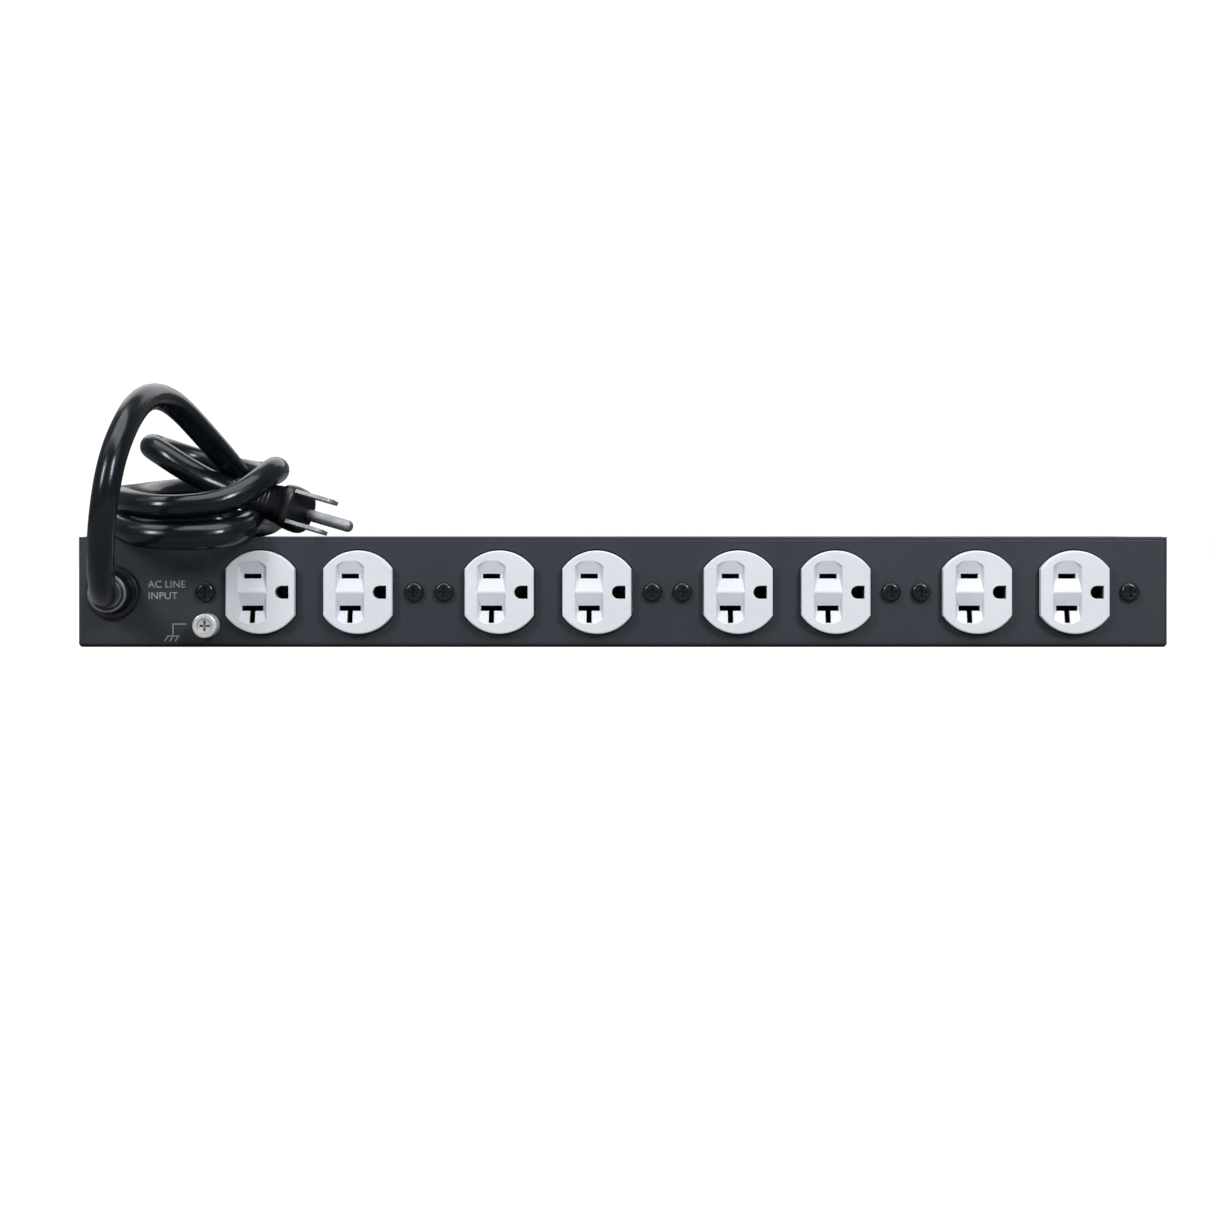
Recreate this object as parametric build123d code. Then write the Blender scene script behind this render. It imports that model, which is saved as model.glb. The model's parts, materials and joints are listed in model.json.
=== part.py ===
from build123d import *
import os
from math import cos, degrees, pi, radians, sin, tan

# Rack power strip: a 1U steel box with four duplex receptacles on its rear panel.
# Millimetres. +Z is up, the receptacles face -Y and the rack panel faces +Y.
# The origin is on the bottom face, under the middle of the object without its free cord.

# ---- driving dimensions ----
BODY_WIDTH = 435.4
BODY_DEPTH = 110.0
BODY_HEIGHT = 44.0
SHEET = 1.2
BEND_RADIUS = 1.6
LIP_WIDTH = 9.0
FLANGE_WIDTH = 13.0
FLANGE_HEIGHT = 5.5

RACK_WIDTH = 482.6
RACK_HEIGHT = 43.7
RACK_THICK = 3.0
RACK_SLOT_X = 465.1 / 2
RACK_SLOT_Z = 31.75 / 2
RACK_SLOT_LONG = 10.3
RACK_SLOT_WIDE = 6.8

GLAND_OUT = 12.0
BUTTON_OUT = 7.0
REAR = (GLAND_OUT - BUTTON_OUT - BODY_DEPTH - RACK_THICK) / 2
PANEL_BACK = REAR + BODY_DEPTH
FRONT = PANEL_BACK + RACK_THICK
REAR_IN = REAR + SHEET
TRAY_HEIGHT = BODY_HEIGHT - SHEET
MID_Z = BODY_HEIGHT / 2

DUPLEX_PITCH = 95.25
DUPLEX_MIDDLE = 17.8
DUPLEX_X = [DUPLEX_MIDDLE + DUPLEX_PITCH * step for step in (-1.5, -0.5, 0.5, 1.5)]
OUTLET_HALF_PITCH = 19.45
STRAP_HOLE = 83.34 / 2

FACE_RADIUS = 16.6
FACE_FLAT = 13.75
FACE_OUT = 3.8
FACE_GAP = 0.5
FACE_PLATE = 4.0
FACE_PLATE_HALF = (33.4, 16.5)
SLOT_X = -3.1
SLOT_Z = 6.4
FUNNEL_HALF_WIDTH = 5.65
FUNNEL_DEPTH = 1.8
GROUND_X = 8.6
GROUND_RADIUS = 2.6
GROUND_FLAT = 2.75

BASE_FRONT = REAR_IN + FACE_PLATE
BASE_DEPTH = 16.0
BASE_BACK = BASE_FRONT + BASE_DEPTH
BASE_HALF = (32.0, 13.5)
CHANNEL_DEPTH = 12.0
CONTACT_SHEET = 0.8
TERMINAL_X = (-9.5, 5.0)
STRAP_THICK = 1.3
STRAP_HALF = 46.5
STRAP_HALF_HEIGHT = 7.0
GROUND_LINK = 10.9
RIVET_X = 3.0
STRAP_SCREW_X = -20.0

SCREW_RADIUS = 1.6
PAN_RADIUS = 3.85
PAN_HEIGHT = 2.4
FLAT_HEAD_RADIUS = 2.8
FLAT_SHANK_RADIUS = 1.6

GLAND_X = -203.9
GLAND_Z = 21.8
GLAND_BASE_RADIUS = 10.8
GLAND_TIP_RADIUS = 6.7
GLAND_MOUTH_RADIUS = 6.1
GLAND_BODY_RADIUS = 8.5
GLAND_BASE_THICK = 2.4
CORD_DIAMETER = 10.4
CORD_CLEARANCE = 0.05

GROUND_SCREW_X = -165.7
GROUND_SCREW_Z = 8.8
COLLAR_OUT = 9.6
COLLAR_RADIUS = 4.8
COLLAR_RECESS = 3.0
RING_BARREL_END = GROUND_SCREW_X - 15.0

SWITCH_X = -150.0
SWITCH_CUTOUT = (21.6, 27.6)
BEZEL = (25.0, 31.0)
BEZEL_THICK = 1.8
SWITCH_DEPTH = 22.2
ROCKER_OPENING = (17.4, 23.4)
ROCKER_WIDTH = 16.8
ROCKER_RADIUS = 11.3
ROCKER_REST = -10.0
ROCKER_PIVOT_Y = FRONT - 2.0
TRUNNION_RADIUS = 1.5
TRUNNION_CLEARANCE = 0.06
ARM_REST = 8.0
ARM_PIVOT_Y = ROCKER_PIVOT_Y - 11.2
ARM_HALF_LENGTH = 7.0
ARM_THICK = 0.9
POLE_X = (-4.2, 4.2)
PLUNGER_TIP = 10.4

BREAKER_X = -185.0
BREAKER_HALF = (7.5, 16.0)
BREAKER_DEPTH = 26.0
BUSHING_RADIUS = 4.75
BUSHING_OUT = 4.0
BUTTON_RADIUS = 3.1
BUTTON_CLEARANCE = 0.08
BUTTON_LENGTH = 16.0

WIRE_RADIUS = 1.4
WIRE_RISE = 15.75
WIRE_BACK = BASE_BACK + 14.0

PLUG_FACE = (-130.2, REAR + 14.0, 54.4)
PLUG_YAW = -28.0
PLUG_DIP = 13.5
PLUG_ROLL = 75.0
PLUG_LENGTH = 34.0
BLADE = (6.3, 1.5, 18.0)
BLADE_SPACING = 12.7
PIN_OFFSET = 11.9
PIN_RADIUS = 2.4
PIN_LENGTH = 21.4
BLADE_HOLE = 1.6
BLADE_HOLE_OUT = 11.9

# The cord from the strain relief, forward and up into its arch and down to the coil.
CORD_ROUTE = [
    (-203.9, -66.0, 21.8),
    (-203.9, -79.0, 21.8),
    (-201.0, -95.5, 24.5),
    (-197.0, -109.0, 36.0),
    (-194.6, -115.0, 54.0),
    (-192.2, -112.0, 72.5),
    (-189.3, -100.0, 87.5),
    (-187.0, -81.5, 97.5),
    (-184.0, -62.0, 100.3),
    (-179.5, -45.5, 97.0),
    (-171.0, -31.0, 85.5),
    (-163.0, -18.0, 74.0),
    (-157.0, -4.0, 62.5),
    (-155.5, 8.0, 54.5),
]

COIL_X = (-206.0, -136.0)
COIL_Y = (REAR - 22.5, 40.0)
COIL_TOP = 66.0
COIL_DROOP = 4.6
FINGER_LOW = (-162.0, 64.0)
FINGER_HIGH = (-195.0, 81.0)
FINGER_Y = (-34.0, 20.0)


# ---- shared shapes ----
def block(x, y, z):
    """Box between the low and high value of each axis."""
    spans = (x, y, z)
    middle = [(low + high) / 2 for low, high in spans]
    size = [high - low for low, high in spans]
    return Pos(*middle) * Box(*size)


def facing_y(y, x=0.0, z=0.0):
    """Plane across Y at a point, with its own X along +X, Y along +Z and normal along -Y."""
    return Plane(origin=(x, y, z), x_dir=(1, 0, 0), z_dir=(0, -1, 0))


def prism_y(outline, y_low, y_high, x=0.0, z=0.0):
    """Outline drawn in X and Z, pushed from y_high down to y_low."""
    return extrude(facing_y(y_high, x, z) * outline, amount=y_high - y_low)


def rod_y(x, z, radius, y_low, y_high):
    return prism_y(Circle(radius), y_low, y_high, x, z)


def rod_z(x, y, radius, z_low, z_high):
    return Pos(x, y, (z_low + z_high) / 2) * Cylinder(radius, z_high - z_low)


def rod_x(y, z, radius, x_low, x_high):
    return Pos((x_low + x_high) / 2, y, z) * Rot(0, 90, 0) * Cylinder(radius, x_high - x_low)


def cone_y(x, z, y_from, radius_from, y_to, radius_to):
    """Frustum along +Y from y_from to y_to."""
    axis = Plane(origin=(x, y_from, z), x_dir=(1, 0, 0), z_dir=(0, 1, 0))
    low_end = (Align.CENTER, Align.CENTER, Align.MIN)
    return axis * Cone(radius_from, radius_to, y_to - y_from, align=low_end)


def cross_recess(x, z, y_low, y_high, reach, width):
    """Two crossed slots, as a cross-recess driver leaves."""
    across = block((x - reach, x + reach), (y_low, y_high), (z - width / 2, z + width / 2))
    upright = block((x - width / 2, x + width / 2), (y_low, y_high), (z - reach, z + reach))
    return across + upright


def path_through(points):
    """Straight runs joined by tangent arcs, each as large as its two runs allow."""
    vectors = [Vector(*point) for point in points]
    radii = []
    for before, here, after in zip(vectors, vectors[1:], vectors[2:]):
        run_in = here - before
        run_out = after - here
        half_turn = radians(run_in.get_angle(run_out)) / 2
        radii.append(0.45 * min(run_in.length, run_out.length) / tan(half_turn))
    return FilletPolyline(*points, radius=radii), radii


def tube(points, radius):
    path, radii = path_through(points)
    start = Plane(origin=path @ 0, z_dir=path % 0)
    return sweep(start * Circle(radius), path=path), path.length, radii


def save(name, shape):
    shape.label = name
    export_step(shape, "parts/" + name + ".step")


def group(pieces):
    """Separate identical pieces that share one node."""
    return Compound(children=list(pieces))


# ---- chassis ----
def bent_tray(width, y_low, y_high, z_low, z_high, radius):
    """Box whose bottom and rear upright edges are rounded as bends."""
    shape = block((-width / 2, width / 2), (y_low, y_high), (z_low, z_high))
    bottom = shape.edges().group_by(Axis.Z)[0].sort_by(Axis.Y)[:-1]
    upright = shape.edges().filter_by(Axis.Z).group_by(Axis.Y)[0]
    return fillet(list(bottom) + list(upright), radius)


def outlet_outline(grow=0.0):
    flats = Rectangle(2 * (FACE_FLAT + grow), 3 * FACE_RADIUS)
    return Circle(FACE_RADIUS + grow) & flats


def outlet_centres():
    return [x + side * OUTLET_HALF_PITCH for x in DUPLEX_X for side in (-1, 1)]


def strap_screw_centres():
    return [x + side * STRAP_HOLE for x in DUPLEX_X for side in (-1, 1)]


def cover_screw_places():
    side_x = BODY_WIDTH / 2 - SHEET - LIP_WIDTH / 2 + 0.5
    side_y = (REAR + 22.0, 1.0, PANEL_BACK - 20.0)
    places = [(side * side_x, y) for side in (-1, 1) for y in side_y]
    rear_y = REAR + SHEET + LIP_WIDTH / 2 - 0.5
    return places + [(-77.5, rear_y), (113.0, rear_y)]


def panel_screw_places():
    x = BODY_WIDTH / 2 - SHEET - FLANGE_WIDTH / 2
    return [(side * x, MID_Z + rise) for side in (-1, 1) for rise in (-12.0, 12.0)]


def chassis_base():
    inner_width = BODY_WIDTH - 2 * SHEET
    shape = bent_tray(BODY_WIDTH, REAR, PANEL_BACK, 0, TRAY_HEIGHT, BEND_RADIUS)
    hollow = bent_tray(inner_width, REAR_IN, PANEL_BACK - SHEET, SHEET, TRAY_HEIGHT - SHEET,
                       BEND_RADIUS - SHEET)
    shape -= hollow
    lip_x = inner_width / 2 - LIP_WIDTH
    shape -= block((-lip_x, lip_x), (REAR_IN + LIP_WIDTH, PANEL_BACK + 1), (TRAY_HEIGHT - 2, TRAY_HEIGHT + 1))
    window_x = inner_width / 2 - FLANGE_WIDTH
    shape -= block((-window_x, window_x), (PANEL_BACK - 2, PANEL_BACK + 1), (FLANGE_HEIGHT, TRAY_HEIGHT + 1))
    through = (REAR - 1, REAR_IN + 1)
    for x in outlet_centres():
        shape -= prism_y(outlet_outline(FACE_GAP), *through, x, MID_Z)
    for x in strap_screw_centres():
        shape -= rod_y(x, MID_Z, SCREW_RADIUS + 0.4, *through)
    shape -= rod_y(GROUND_SCREW_X, GROUND_SCREW_Z, 2.05, *through)
    shape -= rod_y(GLAND_X, GLAND_Z, GLAND_BODY_RADIUS, *through)
    for x, y in cover_screw_places():
        shape -= rod_z(x, y, FLAT_SHANK_RADIUS, TRAY_HEIGHT - 3, TRAY_HEIGHT + 1)
    for x, z in panel_screw_places():
        shape -= rod_y(x, z, FLAT_SHANK_RADIUS, PANEL_BACK - 3, PANEL_BACK + 1)
    return shape


def countersink_z(x, y, top, grow=0.0):
    depth = FLAT_HEAD_RADIUS - FLAT_SHANK_RADIUS
    cone = Cone(FLAT_SHANK_RADIUS, FLAT_HEAD_RADIUS + grow, depth + grow)
    return Pos(x, y, top + grow - (depth + grow) / 2) * cone


def top_cover():
    half = BODY_WIDTH / 2
    shape = block((-half, half), (REAR, PANEL_BACK), (TRAY_HEIGHT, BODY_HEIGHT))
    rear_corners = shape.edges().filter_by(Axis.Z).group_by(Axis.Y)[0]
    shape = fillet(rear_corners, BEND_RADIUS)
    for x, y in cover_screw_places():
        shape -= countersink_z(x, y, BODY_HEIGHT)
        shape -= rod_z(x, y, FLAT_SHANK_RADIUS, TRAY_HEIGHT - 1, BODY_HEIGHT)
    return shape


def cover_screws():
    pieces = []
    for x, y in cover_screw_places():
        screw = countersink_z(x, y, BODY_HEIGHT)
        screw += rod_z(x, y, FLAT_SHANK_RADIUS, BODY_HEIGHT - 7, BODY_HEIGHT - 1)
        for turn in (0, 90):
            slot = Box(3.2, 0.7, 1.2)
            screw -= Pos(x, y, BODY_HEIGHT) * Rot(0, 0, turn) * slot
        pieces.append(screw)
    return group(pieces)


def front_panel():
    half = RACK_WIDTH / 2
    low = MID_Z - RACK_HEIGHT / 2
    shape = block((-half, half), (PANEL_BACK, FRONT), (low, low + RACK_HEIGHT))
    shape = fillet(shape.edges().filter_by(Axis.Y), 1.5)
    through = (PANEL_BACK - 1, FRONT + 1)
    for side in (-1, 1):
        for rise in (-1, 1):
            slot = SlotOverall(RACK_SLOT_LONG, RACK_SLOT_WIDE)
            shape -= prism_y(slot, *through, side * RACK_SLOT_X, MID_Z + rise * RACK_SLOT_Z)
    shape -= prism_y(RectangleRounded(*SWITCH_CUTOUT, 1.0), *through, SWITCH_X, MID_Z)
    shape -= rod_y(BREAKER_X, MID_Z, BUSHING_RADIUS, *through)
    sink = FLAT_HEAD_RADIUS - FLAT_SHANK_RADIUS
    for x, z in panel_screw_places():
        shape -= rod_y(x, z, FLAT_SHANK_RADIUS, *through)
        shape -= cone_y(x, z, FRONT - sink, FLAT_SHANK_RADIUS, FRONT, FLAT_HEAD_RADIUS)
    return shape


def panel_screws():
    pieces = []
    sink = FLAT_HEAD_RADIUS - FLAT_SHANK_RADIUS
    for x, z in panel_screw_places():
        screw = cone_y(x, z, FRONT - sink, FLAT_SHANK_RADIUS, FRONT, FLAT_HEAD_RADIUS)
        screw += rod_y(x, z, FLAT_SHANK_RADIUS, PANEL_BACK - 5, FRONT - 1)
        screw -= cross_recess(x, z, FRONT - 0.7, FRONT + 1, 1.6, 0.7)
        pieces.append(screw)
    return group(pieces)


# ---- duplex receptacles ----
def funnel(x, side):
    """Hipped valley that leads a blade to its slot, with an arched outer end."""
    front = REAR - FACE_OUT
    mouth_height = 12.3
    mouth = facing_y(front, x + SLOT_X, MID_Z + side * (0.3 + mouth_height / 2))
    floor = facing_y(front + FUNNEL_DEPTH, x + SLOT_X, MID_Z + side * SLOT_Z)
    valley = loft([
        mouth * Rectangle(2 * FUNNEL_HALF_WIDTH, mouth_height),
        floor * Rectangle(2 * FUNNEL_HALF_WIDTH - 1.6, 2.0),
    ])
    arch = prism_y(Circle(7.6), front - 1, front + 3, x + SLOT_X, MID_Z + side * 5.1)
    inner = block((x + SLOT_X - 6, x + SLOT_X + 6), (front - 1, front + 3),
                  (MID_Z - 5.2, MID_Z + 5.2))
    return valley & (arch + inner)


def outlet_cuts(x):
    """Blade slots, ground hole and funnels of one outlet face."""
    span = (REAR - FACE_OUT - 1, BASE_FRONT + 1)
    centre = x + SLOT_X
    cuts = block((centre - 3.45, centre + 3.45), span, (MID_Z + SLOT_Z - 0.95, MID_Z + SLOT_Z + 0.95))
    bar_top = MID_Z - SLOT_Z + 1.05
    cuts += block((centre - 4.25, centre + 4.25), span, (bar_top - 2.1, bar_top))
    cuts += block((centre - 1.05, centre + 1.05), span, (bar_top - 6.9, bar_top))
    ground = Circle(GROUND_RADIUS)
    ground += Pos(GROUND_FLAT / 2, 0) * Rectangle(GROUND_FLAT, 2 * GROUND_RADIUS)
    cuts += prism_y(ground, *span, x + GROUND_X, MID_Z)
    return cuts + funnel(x, 1) + funnel(x, -1)


def outlet_face(x):
    half_x, half_z = FACE_PLATE_HALF
    plate = block((x - half_x, x + half_x), (REAR_IN, BASE_FRONT), (MID_Z - half_z, MID_Z + half_z))
    shape = fillet(plate.edges().filter_by(Axis.Y), 2.0)
    for side in (-1, 1):
        centre = x + side * OUTLET_HALF_PITCH
        boss = prism_y(outlet_outline(), REAR - FACE_OUT, REAR_IN + 1, centre, MID_Z)
        rim = boss.faces().sort_by(Axis.Y)[0].edges()
        shape += fillet(rim, 0.6)
    for side in (-1, 1):
        shape -= outlet_cuts(x + side * OUTLET_HALF_PITCH)
    return shape


def ground_pockets(x, radius, y_low, y_high):
    pockets = [
        rod_y(x + side * OUTLET_HALF_PITCH + GROUND_X, MID_Z, radius, y_low, y_high)
        for side in (-1, 1)
    ]
    return pockets[0] + pockets[1]


def outlet_base(x):
    half_x, half_z = BASE_HALF
    shape = block((x - half_x, x + half_x), (BASE_FRONT, BASE_BACK), (MID_Z - half_z, MID_Z + half_z))
    shape = fillet(shape.edges().filter_by(Axis.Y), 1.5)
    floor = BASE_FRONT + CHANNEL_DEPTH
    front = BASE_FRONT - 1
    shape -= block((x - 27, x + 27), (front, floor), (MID_Z + 3.4, MID_Z + 9.4))
    shape -= block((x - 27, x + 27), (front, floor), (MID_Z - 9.4, MID_Z - 3.5))
    for side in (-1, 1):
        stem_x = x + side * OUTLET_HALF_PITCH + SLOT_X
        shape -= block((stem_x - 1.4, stem_x + 1.4), (front, floor - 2), (MID_Z - 12.6, MID_Z - 9))
    shape -= ground_pockets(x, 3.45, front, BASE_FRONT + GROUND_LINK)
    shape -= block((x - 12, x + 29), (front, BASE_FRONT + GROUND_LINK), (MID_Z - 2.4, MID_Z + 2.4))
    shape -= rod_y(x + RIVET_X, MID_Z, 1.5, BASE_FRONT, BASE_BACK + 1)
    shape -= rod_y(x + STRAP_SCREW_X, MID_Z, SCREW_RADIUS, BASE_BACK - 3.5, BASE_BACK + 1)
    for offset in TERMINAL_X:
        tab = (x + offset - 3.5, x + offset + 3.5)
        depth = (floor - CONTACT_SHEET, floor)
        shape -= block(tab, depth, (MID_Z + 9, MID_Z + half_z + 1))
        shape -= block(tab, depth, (MID_Z - half_z - 1, MID_Z - 9))
        reach = (MID_Z + half_z - 3.3, MID_Z + half_z + 1)
        shape -= rod_z(x + offset, BASE_FRONT + 5, SCREW_RADIUS, *reach)
        shape -= rod_z(x + offset, BASE_FRONT + 5, SCREW_RADIUS, 2 * MID_Z - reach[1], 2 * MID_Z - reach[0])
    return shape


def blade_contacts(x, side):
    """Contact strip with a pair of jaw leaves per outlet and two outside screw plates."""
    floor = BASE_FRONT + CHANNEL_DEPTH
    back = (floor - CONTACT_SHEET, floor)
    line = MID_Z + side * SLOT_Z
    top = MID_Z + side * BASE_HALF[1]

    def upright(low, high):
        return (min(low, high), max(low, high))

    shape = block((x - 26, x + 26), back, (line - 2.5, line + 2.5))
    for outlet in (-1, 1):
        centre = x + outlet * OUTLET_HALF_PITCH + SLOT_X
        for leaf in (-1, 1):
            inner = line + leaf * 1.0
            outer = line + leaf * 1.7
            shape += block((centre - 3.3, centre + 3.3), (BASE_FRONT + 1, floor), upright(inner, outer))
    for offset in TERMINAL_X:
        tab = (x + offset - 3.5, x + offset + 3.5)
        shape += block(tab, back, upright(line, top + side * CONTACT_SHEET))
        shape += block(tab, (BASE_FRONT + 1, floor), upright(top, top + side * CONTACT_SHEET))
        shape -= rod_z(x + offset, BASE_FRONT + 5, SCREW_RADIUS, *upright(top - side * 2, top + side * 2))
    return shape


def ground_contact(x):
    """Two round pin sockets on one link, riveted through the base to the strap."""
    link = BASE_FRONT + GROUND_LINK
    sockets = ground_pockets(x, 2.85, BASE_FRONT + 2, link - CONTACT_SHEET)
    sockets -= ground_pockets(x, 2.45, BASE_FRONT + 1, link)
    strip = block((x - 11.5, x + 28.5), (link - CONTACT_SHEET, link), (MID_Z - 2.3, MID_Z + 2.3))
    rivet = rod_y(x + RIVET_X, MID_Z, 1.5, link - 0.1, BASE_BACK + STRAP_THICK)
    return sockets + strip + rivet


def mounting_strap(x):
    """Steel strap: ears behind the panel, legs down both ends and a bar across the back."""
    leg = FACE_PLATE_HALF[0]
    high = STRAP_HALF_HEIGHT
    back = BASE_BACK + STRAP_THICK
    z = (MID_Z - high, MID_Z + high)
    shape = block((x - leg - STRAP_THICK, x + leg + STRAP_THICK), (BASE_BACK, back), z)
    for side in (-1, 1):
        inner = x + side * leg
        outer = inner + side * STRAP_THICK
        shape += block((min(inner, outer), max(inner, outer)), (REAR_IN, back), z)
        tip = x + side * STRAP_HALF
        ear = block((min(inner, tip), max(inner, tip)), (REAR_IN, REAR_IN + STRAP_THICK),
                    (MID_Z - 9, MID_Z + 9))
        end = ear.edges().filter_by(Axis.Y).group_by(Axis.X)[-1 if side > 0 else 0]
        shape += fillet(end, 4.0)
        shape -= rod_y(x + side * STRAP_HOLE, MID_Z, SCREW_RADIUS, REAR_IN - 1, REAR_IN + 3)
    shape -= rod_y(x + RIVET_X, MID_Z, 1.5, BASE_BACK - 1, back + 1)
    shape -= rod_y(x + STRAP_SCREW_X, MID_Z, SCREW_RADIUS, BASE_BACK - 1, back + 1)
    return shape


def terminal_screws_of(x):
    """Two screws on each long side of one duplex and the ground screw on its strap."""
    pieces = []
    y = BASE_FRONT + 5
    for offset in TERMINAL_X:
        for side in (-1, 1):
            seat = MID_Z + side * (BASE_HALF[1] + CONTACT_SHEET)
            head = sorted((seat, seat + side * 1.8))
            shank = sorted((seat, MID_Z + side * (BASE_HALF[1] - 3)))
            screw = rod_z(x + offset, y, 3.2, *head)
            screw += rod_z(x + offset, y, SCREW_RADIUS, *shank)
            pieces.append(screw)
    seat = BASE_BACK + STRAP_THICK
    hexagon = prism_y(RegularPolygon(3.6, 6), seat, seat + 2.4, x + STRAP_SCREW_X, MID_Z)
    pieces.append(hexagon + rod_y(x + STRAP_SCREW_X, MID_Z, SCREW_RADIUS, BASE_BACK - 3, seat))
    return pieces


def terminal_screws():
    return group([screw for x in DUPLEX_X for screw in terminal_screws_of(x)])


def receptacle_screws():
    """Black cross-recess screws through the rear panel into the straps."""
    pieces = []
    for x in strap_screw_centres():
        head = rod_y(x, MID_Z, PAN_RADIUS, REAR - PAN_HEIGHT, REAR)
        rim = head.faces().sort_by(Axis.Y)[0].edges()
        screw = fillet(rim, 1.4)
        screw += rod_y(x, MID_Z, SCREW_RADIUS, REAR, REAR + 9)
        screw -= cross_recess(x, MID_Z, REAR - PAN_HEIGHT - 1, REAR - PAN_HEIGHT + 1.5, 2.2, 0.95)
        pieces.append(screw)
    return group(pieces)


# ---- ground terminal ----
def ground_collar():
    washer_front = REAR - 1.0
    front = REAR - COLLAR_OUT
    shape = rod_y(GROUND_SCREW_X, GROUND_SCREW_Z, COLLAR_RADIUS, front, washer_front)
    rim = shape.faces().sort_by(Axis.Y)[0].edges()
    shape = fillet(rim, 0.6)
    shape -= rod_y(GROUND_SCREW_X, GROUND_SCREW_Z, 2.05, front - 1, REAR)
    return shape - rod_y(GROUND_SCREW_X, GROUND_SCREW_Z, COLLAR_RECESS, front - 1, front + 3)


def ground_screw():
    front = REAR - COLLAR_OUT + 0.9
    seat = REAR - COLLAR_OUT + 3
    shape = rod_y(GROUND_SCREW_X, GROUND_SCREW_Z, COLLAR_RECESS - 0.1, front, seat)
    shape += rod_y(GROUND_SCREW_X, GROUND_SCREW_Z, 2.0, seat, REAR + 10)
    return shape - cross_recess(GROUND_SCREW_X, GROUND_SCREW_Z, front - 1, front + 1.2, 2.0, 0.9)


def ground_washer():
    """Toothed lock washer between the collar and the panel."""
    shape = rod_y(GROUND_SCREW_X, GROUND_SCREW_Z, 3.7, REAR - 1, REAR)
    for tooth in range(12):
        spoke = block((3.4, 4.3), (REAR - 1, REAR), (-0.6, 0.6))
        shape += Pos(GROUND_SCREW_X, 0, GROUND_SCREW_Z) * Rot(0, 30 * tooth, 0) * spoke
    return shape - rod_y(GROUND_SCREW_X, GROUND_SCREW_Z, 2.05, REAR - 2, REAR + 1)


def ground_ring_terminal():
    shape = rod_y(GROUND_SCREW_X, GROUND_SCREW_Z, 4.0, REAR_IN, REAR_IN + 0.9)
    tongue = block((GROUND_SCREW_X - 10, GROUND_SCREW_X - 3), (REAR_IN, REAR_IN + 0.9),
                   (GROUND_SCREW_Z - 2, GROUND_SCREW_Z + 2))
    barrel = rod_x(REAR_IN + 2.2, GROUND_SCREW_Z, 2.2, RING_BARREL_END, GROUND_SCREW_X - 9)
    return shape + tongue + barrel - rod_y(GROUND_SCREW_X, GROUND_SCREW_Z, 2.05, REAR_IN - 1, REAR_IN + 2)


def ground_nut():
    seat = REAR_IN + 0.9
    shape = prism_y(RegularPolygon(4.4, 6), seat, seat + 3.2, GROUND_SCREW_X, GROUND_SCREW_Z)
    return shape - rod_y(GROUND_SCREW_X, GROUND_SCREW_Z, 2.0, seat - 1, seat + 4)


# ---- cord entry, cord and plug ----
def strain_relief():
    tip = REAR - GLAND_OUT
    base = rod_y(GLAND_X, GLAND_Z, GLAND_BASE_RADIUS, REAR - GLAND_BASE_THICK, REAR)
    flat = GLAND_X - GLAND_BASE_RADIUS + 1.0
    base -= block((flat - 5, flat), (REAR - 5, REAR + 1), (0, BODY_HEIGHT))
    base = fillet(base.faces().sort_by(Axis.Y)[0].edges(), 1.0)
    boot = cone_y(GLAND_X, GLAND_Z, tip, GLAND_TIP_RADIUS, REAR, GLAND_BODY_RADIUS + 0.6)
    boot = fillet(boot.faces().sort_by(Axis.Y)[0].edges(), 0.4)
    boot -= cone_y(GLAND_X, GLAND_Z, tip, GLAND_MOUTH_RADIUS, tip + 2.0, CORD_DIAMETER / 2)
    shank = rod_y(GLAND_X, GLAND_Z, GLAND_BODY_RADIUS, REAR - 1, REAR + 10)
    bore = rod_y(GLAND_X, GLAND_Z, CORD_DIAMETER / 2 + CORD_CLEARANCE, tip - 1, REAR + 11)
    return base + boot + shank - bore


def strain_relief_nut():
    """Ring nut that holds the strain relief from inside."""
    ring = prism_y(RegularPolygon(11.6, 8), REAR_IN, REAR_IN + 4, GLAND_X, GLAND_Z)
    return ring - rod_y(GLAND_X, GLAND_Z, GLAND_BODY_RADIUS, REAR_IN - 1, REAR_IN + 5)


def cord_entry():
    """Cord jacket inside the strain relief, with its three conductors past the jacket's end."""
    start = CORD_ROUTE[0][1]
    end = REAR + 24
    jacket = rod_y(GLAND_X, GLAND_Z, CORD_DIAMETER / 2, start, end)
    for turn in (90, 210, 330):
        dx = 2.4 * cos(radians(turn))
        dz = 2.4 * sin(radians(turn))
        jacket += rod_y(GLAND_X + dx, GLAND_Z + dz, WIRE_RADIUS, end, end + 6)
    return jacket


def cord_lead():
    radius = CORD_DIAMETER / 2
    shape, length, radii = tube(CORD_ROUTE, radius)
    print("cord_lead length", round(length, 1), "radii", [round(value, 1) for value in radii])
    print("cord_lead volume over section times length", shape.volume / (pi * radius ** 2 * length))
    return shape


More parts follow.
